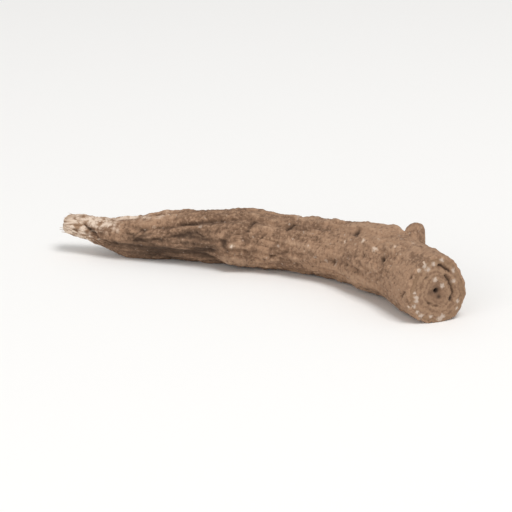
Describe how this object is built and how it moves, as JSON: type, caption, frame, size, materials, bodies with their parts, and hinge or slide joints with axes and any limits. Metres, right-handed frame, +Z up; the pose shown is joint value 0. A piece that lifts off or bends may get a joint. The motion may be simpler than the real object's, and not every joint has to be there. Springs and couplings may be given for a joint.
{
  "type": "dried punarnava root",
  "caption": "Dried punarnava root: tapering, bent and wrinkled, with a sawn crown that shows its rings and pith and a thin torn tail that curls up.",
  "frame": {"origin": "middle of the bounding box at the ground that the root lies on", "axes": "+Z up, +X from the thin tail to the thick sawn crown, which turns towards -Y"},
  "size_m": [0.0783, 0.0464, 0.0143],
  "materials": {
    "root_bark": "matte"
  },
  "bodies": {
    "root": {"punarnava_root": "root_bark"}
  },
  "joints": []
}
